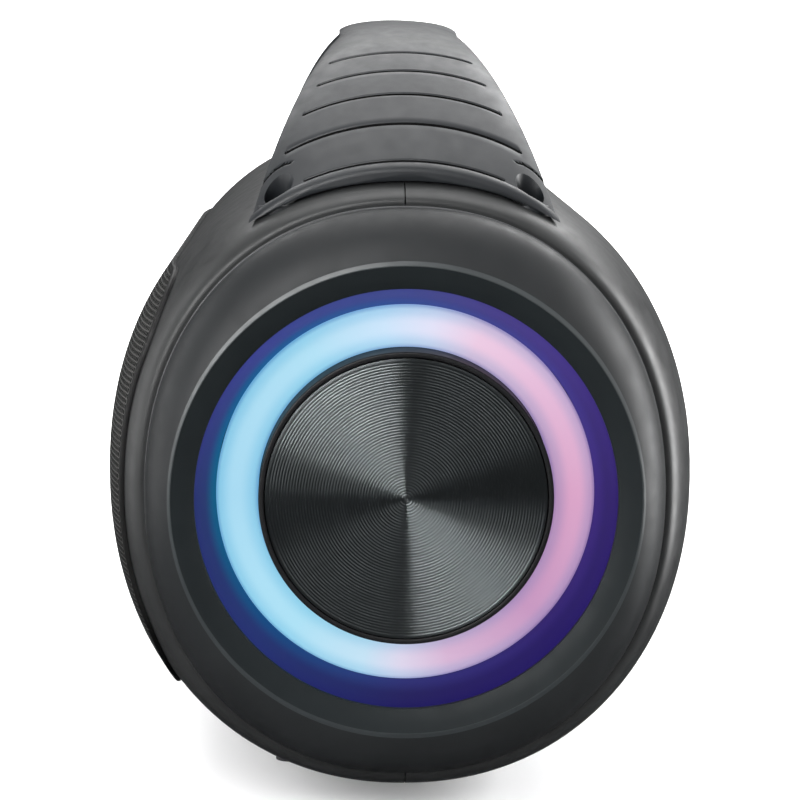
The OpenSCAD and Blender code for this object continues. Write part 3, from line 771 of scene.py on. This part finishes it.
def make_disc(name, side):
    """Spun disc with real concentric ridges on its face."""
    pitch, height, per_ridge = 0.00095, 0.00013, 6
    centre, hub, rim_inner = 0.0002, 0.0306, DISC_RADIUS - 0.0015
    back, rim_back = DISC_FRONT - 0.0116, DISC_FRONT - 0.005
    edge = DISC_RADIUS - 0.0001
    first = 0.0012
    count = int((edge - first) / pitch) * per_ridge
    profile = [(centre, back), (hub, back), (rim_inner, DISC_FRONT - 0.003), (rim_inner, rim_back),
               (DISC_RADIUS, rim_back), (DISC_RADIUS, DISC_FRONT - 0.0003)]
    for k in range(count, -1, -1):
        radius = first + k * pitch / per_ridge
        crown = 0.0009 * (1 - radius / edge)
        wave = height * (math.cos(2 * math.pi * k / per_ridge) - 1) / 2
        profile.append((radius, DISC_FRONT - 0.0001 - crown + wave))
    profile.append((centre, DISC_FRONT - 0.0012))
    ob = turned("spun_disc_" + name, profile, side, 224, joined=False, smooth_angle=50)
    paint(ob, MATERIALS["spun_metal"])
    stand_for(ob, "radiator_disc_" + name, "radiator_" + name, slot="spun_metal")


# ---- grille

GRILLE_OUT = 0.0016
GRILLE_BACK = 0.0002
GRILLE_HALF_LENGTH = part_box("grille")[1].x
GRILLE_HALF_HEIGHT = 0.072
GRILLE_CORNER = 0.030
GRILLE_PITCH = 0.0021


def front_point(x, s, off):
    """Point on the barrel's front at arc length s above the middle, lifted off the surface by off."""
    table = front_point.tables
    key = round(abs(x), 5)
    if key not in table:
        angles = np.linspace(-math.pi / 2, math.pi / 2, 721)
        y, z = section(half_depth(x), half_height(x), SECTION_POWER, angles)
        length = np.concatenate([[0], np.cumsum(np.hypot(np.diff(y), np.diff(z)))])
        table[key] = (length - length[-1] / 2, y, z)
    length, y, z = table[key]
    py, pz = np.interp(s, length, y), np.interp(s, length, z)
    a, b = half_depth(x), half_height(x)
    ny = np.sign(py) * (abs(py) / a) ** (SECTION_POWER - 1) / a
    nz = np.sign(pz) * (abs(pz) / b) ** (SECTION_POWER - 1) / b
    norm = math.hypot(ny, nz)
    return (x, py + off * ny / norm, AXIS_Z + pz + off * nz / norm)


front_point.tables = {}


def inside_outline(x, z, inset):
    """Whether a point lies inside the grille's rounded rectangle, shrunk by inset."""
    radius = GRILLE_CORNER - inset
    dx = max(0, abs(x) - (GRILLE_HALF_LENGTH - GRILLE_CORNER))
    dz = max(0, abs(z) - (GRILLE_HALF_HEIGHT - GRILLE_CORNER))
    return dx * dx + dz * dz < radius * radius


def make_grille():
    """Perforated sheet of blind hexagonal holes over black cloth, in four strips, with a folded rim; the hole
    walls take the cloth's black as painted shade.
    """
    row = GRILLE_PITCH * math.sqrt(3) / 2
    cell = GRILLE_PITCH / math.sqrt(3)
    hole = cell * 0.84
    columns = int(2 * GRILLE_HALF_LENGTH / GRILLE_PITCH)
    rows = int(0.17 / row)
    corners = [math.radians(30 + 60 * k) for k in range(6)]
    strip = GRILLE_HALF_LENGTH / 2
    for number in range(4):
        start = (number - 2) * strip
        vertices, faces, cloth_and_wall_shade = [], [], []
        index = {}

        def vertex(x, s, off, key):
            if key is not None and key in index:
                return index[key]
            vertices.append(front_point(x, s, off))
            place = len(vertices) - 1
            if key is not None:
                index[key] = place
            return place

        for j in range(rows):
            s = (j - (rows - 1) / 2) * row
            for i in range(columns):
                x = (i - (columns - 1) / 2 + (0.5 if j % 2 else 0)) * GRILLE_PITCH
                if not start <= x < start + strip:
                    continue
                z = front_point(x, s, 0)[2] - AXIS_Z
                if not inside_outline(x, z, 0.0014):
                    continue
                outer, rim, low, back = [], [], [], []
                for t in corners:
                    cx, cs = x + cell * math.cos(t), s + cell * math.sin(t)
                    key = (round(cx / GRILLE_PITCH * 2), round(cs / cell * 2))
                    outer.append(vertex(cx, cs, GRILLE_OUT - 0.0001, key))
                    back.append(vertex(cx, cs, GRILLE_BACK, key + (0,)))
                    hx, hs = x + hole * math.cos(t), s + hole * math.sin(t)
                    rim.append(vertex(hx, hs, GRILLE_OUT - 0.0001, None))
                    low.append(vertex(hx, hs, GRILLE_OUT - 0.0008, None))
                for k in range(6):
                    m = (k + 1) % 6
                    faces.append((outer[k], outer[m], rim[m], rim[k]))
                    # the hole's wall takes the black material: painted shade
                    cloth_and_wall_shade.append(len(faces))
                    faces.append((rim[k], rim[m], low[m], low[k]))
                # the hole's floor is the black cloth
                cloth_and_wall_shade.append(len(faces))
                faces.append(tuple(low))
                faces.append(tuple(reversed(back)))
        index_edges = {}
        for face in faces:
            for a, b in zip(face, face[1:] + face[:1]):
                pair = (min(a, b), max(a, b))
                index_edges[pair] = index_edges.get(pair, 0) + 1
        back_of = {index[k]: index[k + (0,)] for k in index if len(k) == 2}
        for (a, b), uses in list(index_edges.items()):
            if uses == 1 and a in back_of and b in back_of:
                faces.append((a, b, back_of[b], back_of[a]))
        ob = new_object("grille_mesh_%d" % (number + 1), vertices, faces, 30)
        ob.data.materials.append(MATERIALS["grille_metal"])
        ob.data.materials.append(MATERIALS["grille_cloth_and_shade"])
        for face_number in cloth_and_wall_shade:
            ob.data.polygons[face_number].material_index = 1
        stand_for(ob, "grille", slot="grille_metal")

    outline = rounded_outline(GRILLE_HALF_LENGTH - 0.0002, GRILLE_HALF_HEIGHT, GRILLE_CORNER, 18)
    dense = []
    for (ax, az), (bx, bz) in zip(outline, outline[1:] + outline[:1]):
        dx, dz = bx - ax, bz - az
        pieces = max(1, int(math.hypot(dx, dz) / 0.003))
        dense += [(ax + dx * k / pieces, az + dz * k / pieces) for k in range(pieces)]
    band = [(0.0, 0.0001), (0.0, 0.0011), (0.0004, GRILLE_OUT), (0.0013, GRILLE_OUT),
            (0.0017, GRILLE_OUT - 0.0003), (0.0017, 0.0003)]
    rings = []
    for inset, off in band:
        ring = []
        for x, z in inset_outline(dense, inset):
            a, b = half_depth(x), half_height(x)
            y = -a * (1 - min(1, abs(z) / b) ** SECTION_POWER) ** (1 / SECTION_POWER)
            ny = -(abs(y) / a) ** (SECTION_POWER - 1) / a
            nz = math.copysign((abs(z) / b) ** (SECTION_POWER - 1) / b, z)
            norm = math.hypot(ny, nz)
            ring.append((x, y + off * ny / norm, AXIS_Z + z + off * nz / norm))
        rings.append(ring)
    rim = loft("grille_rim", rings, joined=True, smooth_angle=40)
    # the rim takes the near-black metal: painted shade along the grille's edge
    paint(rim, MATERIALS["rim_metal_painted_shade"])
    stand_for(rim, "grille", slot="grille_metal")


# ---- handle

FINGER_GROOVES = ((0.122, 0.0255), (0.137, 0.0296), (0.152, 0.0345), (0.167, 0.0404))
LIP_GROOVE = (0.1824, 0.034)
FLANGE_X = 0.1830
FLANGE_ROUND = 0.0042


def dent(distance, half_width, depth):
    """Depth of a rounded channel at a distance from its centre line."""
    inside = np.clip(1 - (distance / half_width) ** 2, 0, 1)
    return depth * np.sqrt(inside)


def handle_skin(x, y, width):
    """Height of the handle's upper skin before its grooves."""
    edge = 0.0012 * (abs(y) / width) ** 8
    z = GRIP_TOP - arc_drop(min(abs(x), FLANGE_X)) - crown_drop(y) - edge
    over = max(0.0, abs(x) - HANDLE_END + FLANGE_ROUND)
    return z - FLANGE_ROUND + math.sqrt(FLANGE_ROUND ** 2 - over ** 2)


def handle_grooves(x, y):
    """Depth of the finger grooves, the lip's groove and the arcs round the screw holes."""
    depth = 0.0
    for centre, reach in FINGER_GROOVES:
        over = max(0.0, abs(y) - reach + 0.001)
        depth += dent(math.hypot(abs(x) - centre, over), 0.0009, 0.0012)
    over = max(0.0, abs(y) - LIP_GROOVE[1] + 0.001)
    depth += dent(math.hypot(abs(x) - LIP_GROOVE[0], over), 0.0006, 0.0007)
    px, py = abs(x) - SCREW_X, abs(y) - SCREW_Y
    radius, angle = math.hypot(px, py), math.degrees(math.atan2(py, px))
    if radius < 0.011 and (angle > 95 or angle < -150):
        depth += dent(radius - 0.0088, 0.0006, 0.0006)
    return depth


def handle_stations():
    """Places along the handle, denser over its grooves and its end."""
    fine_start, fine_end = 0.1705, HANDLE_END - 0.0001
    xs = {round(HANDLE_END * i / 94, 5) for i in range(95)}
    for groove in FINGER_GROOVES + (LIP_GROOVE,):
        xs |= {round(groove[0] + 0.0010 * k / 6, 5) for k in range(-6, 7)}
    xs |= {round(fine_start + (fine_end - fine_start) * k / 50, 5) for k in range(51)}
    xs.add(round(HANDLE_END, 5))
    xs = sorted(v for v in xs if v <= HANDLE_END)
    thinned = [xs[0]]
    for v in xs[1:]:
        if v - thinned[-1] > 0.0001:
            thinned.append(v)
    return [-v for v in reversed(thinned[1:])] + thinned


def make_handle():
    across = 150
    bottom = AXIS_Z + 0.070
    rings = []
    for x in handle_stations():
        width = float(handle_half_width(x))
        ring = []
        for i in range(across + 1):
            y = -width * math.cos(math.pi * i / across)
            ring.append((x, y, handle_skin(x, y, width) - handle_grooves(x, y)))
        ring += [(x, width, bottom), (x, -width, bottom)]
        rings.append(ring)
    ob = loft("handle_skin", rings, smooth_angle=40)

    rings = []
    angles = full_turn(160)
    gap = 0.0011
    for x in stations(SHELL_END, 20, 8):
        rings.append(section_ring(x, half_depth(x) + gap, half_height(x) + gap, SECTION_POWER, angles))
    barrel = loft("cut_barrel", rings)

    flat, radius = 0.078, GRIP_BOTTOM - (AXIS_Z + HALF_HEIGHT - 0.001)
    centre_z = GRIP_BOTTOM - radius
    low = AXIS_Z + 0.090
    outline = [(-flat - radius, low), (flat + radius, low)]
    outline += arc(flat, centre_z, radius, 0, 90, 20) + arc(-flat, centre_z, radius, 90, 180, 20)
    opening = slab("cut_opening", outline, -0.1, 0.1, lambda u, v, w: (u, w, v))
    tools = [barrel, opening]
    for x, y in HANDLE_SCREWS:
        place = along_z(x, y)
        tools.append(cylinder("cut_bore", place, 0.0048, SCREW_FLOOR, AXIS_Z + 0.13, 64))
        tools.append(cylinder("cut_hole", place, SCREW_HOLE, SCREW_FLOOR - 0.005, SCREW_FLOOR + 0.001, 32))
    cover = rounded_outline(0.076, 0.015, 0.008)
    tools.append(slab("cut_cover", cover, GRIP_BOTTOM - 0.001, GRIP_BOTTOM + 0.003, along_z(0, 0)))
    core = rounded_outline(0.070, 0.010, 0.006)
    tools.append(slab("cut_core", core, GRIP_BOTTOM - 0.001, GRIP_BOTTOM + 0.007, along_z(0, 0)))
    cut(ob, *tools)

    bosses = []
    boss_low, boss_top, boss_radius, bore_radius = AXIS_Z + 0.088, SCREW_FLOOR + 0.0045, 0.007, 0.0049
    boss = ((SCREW_HOLE, boss_low), (boss_radius, boss_low), (boss_radius, boss_top),
            (bore_radius, boss_top), (bore_radius, SCREW_FLOOR), (SCREW_HOLE, SCREW_FLOOR))
    for x, y in HANDLE_SCREWS:
        tube = [circle(x, y, z, radius, 48) for radius, z in boss]
        bosses.append(loft("handle_boss", tube, joined=True))
    ob = join("handle_skin", [ob] + bosses)
    round_edges(ob, 0.0006, 2, 50)
    shade(ob, 42)
    paint(ob, MATERIALS["handle_plastic"])
    ob.data.materials.append(MATERIALS["handle_groove"])
    # faces on the floors of the grooves and arcs take the near-black plastic: painted shade
    for polygon in ob.data.polygons:
        x, y, z = polygon.center
        depth = handle_grooves(x, y)
        floor_z = handle_skin(x, y, handle_half_width(x)) - depth
        polygon.material_index = int(depth > 0.0003 and abs(z - floor_z) < 0.0005)
    stand_for(ob, "handle", slot="handle_plastic")


# ---- controls, icons

def raised(outline, x, low, high):
    return slab("icon_part", outline, low, high, along_z(x, 0), 0.0001, 2)


def icon_ring(x, radius, width, start, end, low, high, cy=0.0):
    """A raised arc of constant width."""
    steps = 24
    inner, outer = radius - width / 2, radius + width / 2
    rings = []
    for i in range(steps + 1):
        t = math.radians(start + (end - start) * i / steps)
        c, s = math.cos(t), math.sin(t)
        corners = ((inner, low), (outer, low), (outer, high), (inner, high))
        rings.append([(x + r * c, cy + r * s, z) for r, z in corners])
    return loft("icon_part", rings)


def bar(length, width):
    u, v = length / 2, width / 2
    return [(-u, -v), (u, -v), (u, v), (-u, v)]


def shifted(outline, dx, dy, turn=0.0):
    c, s = math.cos(math.radians(turn)), math.sin(math.radians(turn))
    return [(dx + u * c - v * s, dy + u * s + v * c) for u, v in outline]


def button_icon(kind, x, low, high):
    line = 0.0007
    if kind == "power":
        return [icon_ring(x, 0.0022, line, 120, 420, low, high),
                raised(shifted(bar(line, 0.0026), 0, 0.0020), x, low, high)]
    if kind == "wireless":
        dot = arc(0, -0.0018, 0.0006, 0, 342, 19)
        return [raised(dot, x, low, high), icon_ring(x, 0.0019, line, 45, 135, low, high, -0.0018),
                icon_ring(x, 0.0034, line, 45, 135, low, high, -0.0018)]
    if kind == "volume_down":
        return [raised(bar(0.0046, line), x, low, high)]
    if kind == "volume_up":
        return [raised(bar(0.0046, line), x, low, high), raised(bar(line, 0.0046), x, low, high)]
    if kind == "play":
        return [raised([(-0.0022, -0.0022), (0.0010, 0.0), (-0.0022, 0.0022)], x, low, high),
                raised(shifted(bar(line, 0.0040), 0.0022, 0), x, low, high)]
    rays = []
    for k in range(8):
        t = k * math.pi / 4
        ray = shifted(bar(0.0012, line * 0.8), 0.0029 * math.cos(t), 0.0029 * math.sin(t), math.degrees(t))
        rays.append(raised(ray, x, low, high))
    return [icon_ring(x, 0.0014, line, 0, 359, low, high)] + rays


def make_button(kind):
    """Soft button with a shallow dish and a raised icon."""
    node = "button_" + kind
    low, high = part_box(node)
    x = (low.x + high.x) / 2
    radius = (high.x - low.x) / 2
    top = high.z
    skirt = top - 0.0030
    body_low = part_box("control_panel")[1].z - 0.0025
    profile = [(0.0019, low.z), (0.0019, body_low), (radius - 0.0004, body_low), (radius, body_low + 0.0003),
               (radius, top - 0.0008)] + arc(radius - 0.0008, top - 0.0008, 0.0008, 0, 90, 4)
    profile += [(radius - 0.0014, top - 0.0001), (radius - 0.0022, top - 0.00035), (0.0001, top - 0.00045)]
    rings = [circle(x, 0.0, z, r, 64) for r, z in profile]
    cap = paint(loft(node + "_cap", rings, smooth_angle=50), MATERIALS["button_rubber"])
    parts = [paint(p, MATERIALS["icon_paint"]) for p in button_icon(kind, x, skirt, top - 0.00015)]
    ob = join(node + "_cap", [cap] + parts)
    stand_for(ob, node, node, slot="button_rubber")


def make_controls():
    for kind in ("power", "wireless", "volume_down", "volume_up", "play", "light"):
        make_button(kind)
    panel = softened("control_panel", 0.0005, 3)
    paint(panel, MATERIALS["panel_rubber"])
    stand_for(panel, "control_panel", slot="panel_rubber")


# ---- small pieces

def make_foot(x, y):
    """Rubber foot with a rounded sole edge, its top following the barrel."""
    outline = rounded_outline(0.013, 0.0095, 0.005, 6)
    sole = 0.0012
    rings = []
    for i in range(5):
        t = math.pi / 2 * i / 4
        edge = inset_outline(outline, sole * (1 - math.cos(math.pi / 2 - t)))
        rings.append([(x + u, y + v, sole * (1 - math.sin(t))) for u, v in edge])
    top = []
    for u, v in outline:
        a, b = half_depth(x + u) + 0.0001, half_height(x + u) + 0.0001
        drop = b * (1 - (abs(y + v) / a) ** SECTION_POWER) ** (1 / SECTION_POWER)
        top.append((x + u, y + v, AXIS_Z - drop))
    rings.append(top)
    return loft("foot", rings, smooth_angle=45)


def make_small_pieces():
    feet = [make_foot(x, y) for x in (-0.107, 0.107) for y in (-0.036, 0.036)]
    ob = paint(join("rubber_feet", feet), MATERIALS["foot_rubber"])
    stand_for(ob, "feet", slot="foot_rubber")

    rounded = (
        ("port_cover", 0.0006, "cover_rubber"),
        ("port_panel", 0.0003, "handle_under"),
        ("usb_socket", 0.0002, "steel"),
        ("charge_socket", 0.0002, "steel"),
        ("aux_socket", 0.0003, "black_plastic"),
        ("mic_socket", 0.0003, "black_plastic"),
        ("handle_screws", 0.0004, "screw_black"),
        ("shell_screws", 0.0003, "steel"),
        ("handle_cover", 0.0006, "handle_under"),
    )
    for node, width, slot in rounded:
        body = "port_cover" if node == "port_cover" else "enclosure"
        ob = paint(softened(node, width), MATERIALS[slot])
        ob.name = node + "_piece"
        stand_for(ob, node, body, slot=slot)


def paint_inner_nodes():
    """Procedural finishes for the CAD nodes that keep their own form."""
    groups = {
        "rubber_black": ("shell_gasket", "handle_pads", "radiator_surround_left", "radiator_surround_right",
                         "woofer_surround_left", "woofer_surround_right"),
        "steel": ("port_cover_pin", "handle_core", "radiator_weight_left", "radiator_weight_right"),
        "dark_metal": ("woofer_basket_left", "woofer_basket_right", "woofer_magnet_left",
                       "woofer_magnet_right"),
        "cone_paper": ("woofer_cone_left", "woofer_cone_right"),
        "black_plastic": ("tweeter_left", "tweeter_right", "battery_tray"),
        "board_wood": ("baffle",),
        "circuit_board": ("main_board", "button_board"),
        "board_white": ("led_board_left", "led_board_right"),
        "heat_sink_metal": ("heat_sink",),
        "cell_wrap": ("battery_cells",),
    }
    for slot, nodes in groups.items():
        for node in nodes:
            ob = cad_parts[node]
            if not ob.material_slots:
                ob.data.materials.append(MATERIALS[slot])
            for material_slot in ob.material_slots:
                material_slot.material = MATERIALS[slot]


# ---- camera, floor, lights

def aim(ob, target):
    direction = Vector(target) - ob.location
    ob.rotation_euler = direction.to_track_quat("-Z", "Y").to_euler()


def make_camera():
    data = bpy.data.cameras.new("camera")
    data.lens = 135
    data.sensor_width = 36
    data.clip_end = 50
    camera = in_scene("camera", data)
    target = Vector((GROOVE_X, -0.0018, AXIS_Z + 0.0312))
    pitch, yaw, distance = math.radians(7.3), math.radians(1.2), 1.0
    level = math.cos(pitch)
    camera.location = target + distance * Vector((level * math.cos(yaw), -level * math.sin(yaw),
                                                  math.sin(pitch)))
    aim(camera, target)
    bpy.context.scene.camera = camera


def area_light(name, place, target, width, height, power, roll=0.0):
    data = bpy.data.lights.new(name, "AREA")
    data.shape = "RECTANGLE"
    data.size, data.size_y = width, height
    data.energy = power
    ob = in_scene(name, data)
    ob.location = place
    ob.visible_camera = False
    aim(ob, target)
    ob.rotation_euler.rotate_axis("Z", math.radians(roll))


def make_studio():
    """Pale floor that curves up into a backdrop all round, soft lights and a dim world."""
    radius, flat, steps = 1.2, 3.2, 12
    profile = [(0.001, 0.0), (0.6, 0.0), (1.6, 0.0), (flat, 0.0)]
    for i in range(1, steps + 1):
        t = math.pi / 2 * i / steps
        profile.append((flat + radius * math.sin(t), radius * (1 - math.cos(t))))
    rings = [circle(0.0, 0.0, z - 0.0001, r, 96) for r, z in profile]
    floor = loft("floor", rings, closed_ends=False, smooth_angle=80)
    n = Nodes("floor_paint", Roughness=0.9, Emission_Strength=1.0)
    n.shader.inputs["Specular IOR Level"].default_value = 0.1
    n.tone((0.92, 0.92, 0.925), 0.01, 3)
    split = n.node("ShaderNodeSeparateXYZ")
    n.link(n.place, split.inputs[0])
    away = n.math("DIVIDE", n.from_axis(split, split.outputs["X"]), 2.0)
    shine = n.ramp(away, [(0.22, (0.03,) * 3), (0.60, (0.85,) * 3)], "EASE")
    n.link(shine, n.shader.inputs["Emission Color"])
    paint(floor, n.material)
    floor.visible_glossy = False

    bpy.context.scene.view_settings.view_transform = "Standard"
    world = bpy.data.worlds.new("studio")
    bpy.context.scene.world = world
    world.use_nodes = True
    background = world.node_tree.nodes["Background"]
    background.inputs["Color"].default_value = (0.93, 0.96, 1.0, 1)
    background.inputs["Strength"].default_value = 0.06

    middle = (0, 0, AXIS_Z)
    face = (CAP_RIM, 0, AXIS_Z)
    area_light("top_light", (-0.25, 0, 1.9), middle, 1.8, 1.3, 37)
    area_light("left_strip", (-0.35, -1.3, 0.45), middle, 0.8, 1.3, 9)
    area_light("right_strip", (0.0, 1.3, 0.34), middle, 0.8, 1.3, 60)
    area_light("rear_light", (-1.2, 1.0, 1.3), middle, 1.0, 0.8, 14)
    area_light("backdrop_light", (-1.9, 0, 1.7), (-2.3, 0, 0), 2.6, 1.2, 75)
    area_light("low_left", (0.40, -1.1, 0.16), middle, 0.9, 0.26, 3.5)
    area_light("fan_light", fan_place(133), face, 1.28, 0.30, 27, 43)
    area_light("fan_fill", fan_place(43), face, 1.15, 0.25, 2.9, -47)


def fan_place(azimuth):
    """Place in front of the right end, at an angle round the barrel's axis as that end's viewer sees it."""
    lateral, forward = 0.85, 0.72
    t = math.radians(azimuth)
    return (CAP_RIM + forward, lateral * math.cos(t), AXIS_Z + lateral * math.sin(t))


make_camera()
make_shells()
for end_name, end_side in (("left", -1), ("right", 1)):
    make_end(end_name, end_side)
make_grille()
make_handle()
make_controls()
make_small_pieces()
paint_inner_nodes()
make_studio()

bpy.context.view_layer.update()
